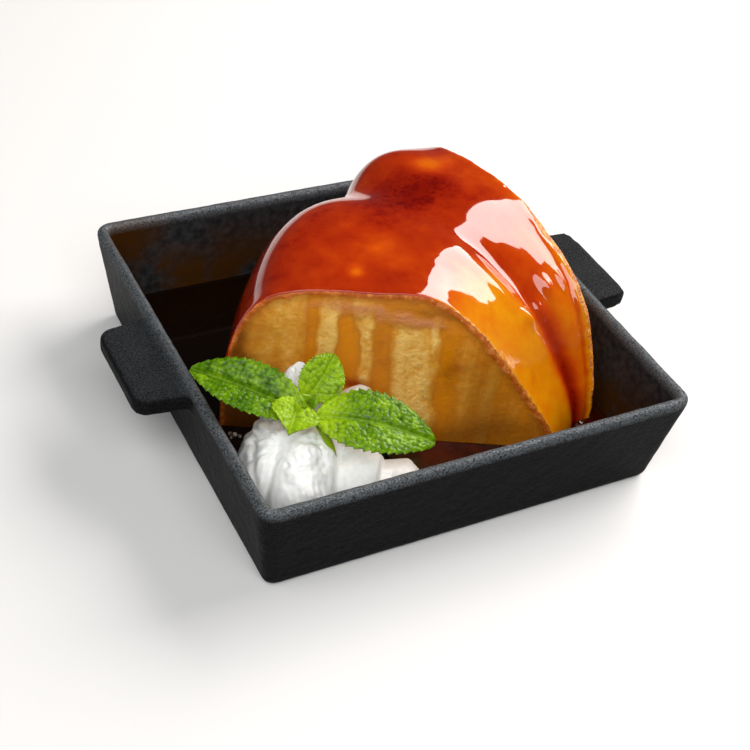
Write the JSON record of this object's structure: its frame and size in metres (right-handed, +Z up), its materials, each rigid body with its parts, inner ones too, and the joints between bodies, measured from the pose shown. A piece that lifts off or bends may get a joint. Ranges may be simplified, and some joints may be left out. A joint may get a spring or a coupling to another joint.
{
  "type": "creme caramel flan in a cast-iron serving dish",
  "caption": "Slice of glazed caramel custard from a fluted ring mould, in a small square cast-iron dish with lugs, caramel pool, whipped cream and a sprig of mint.",
  "frame": {"origin": "centre of the dish's flat underside", "axes": "+X along the line of the two lugs, to the right seen from the custard's cut face; +Y to the back; +Z up"},
  "size_m": [0.1592, 0.1312, 0.0587],
  "materials": {
    "cast_iron": "matte black, fine sand-cast grain",
    "caramel_sauce": "wet gloss, near black brown",
    "caramel_custard": "wet caramel glaze over set custard, cut faces satin",
    "whipped_cream": "soft satin white",
    "mint_leaf": "waxy satin green"
  },
  "bodies": {
    "root": {"dish": "cast_iron", "sauce": "caramel_sauce", "flan": "caramel_custard", "cream": "whipped_cream", "mint_sprig": "mint_leaf"}
  },
  "joints": []
}
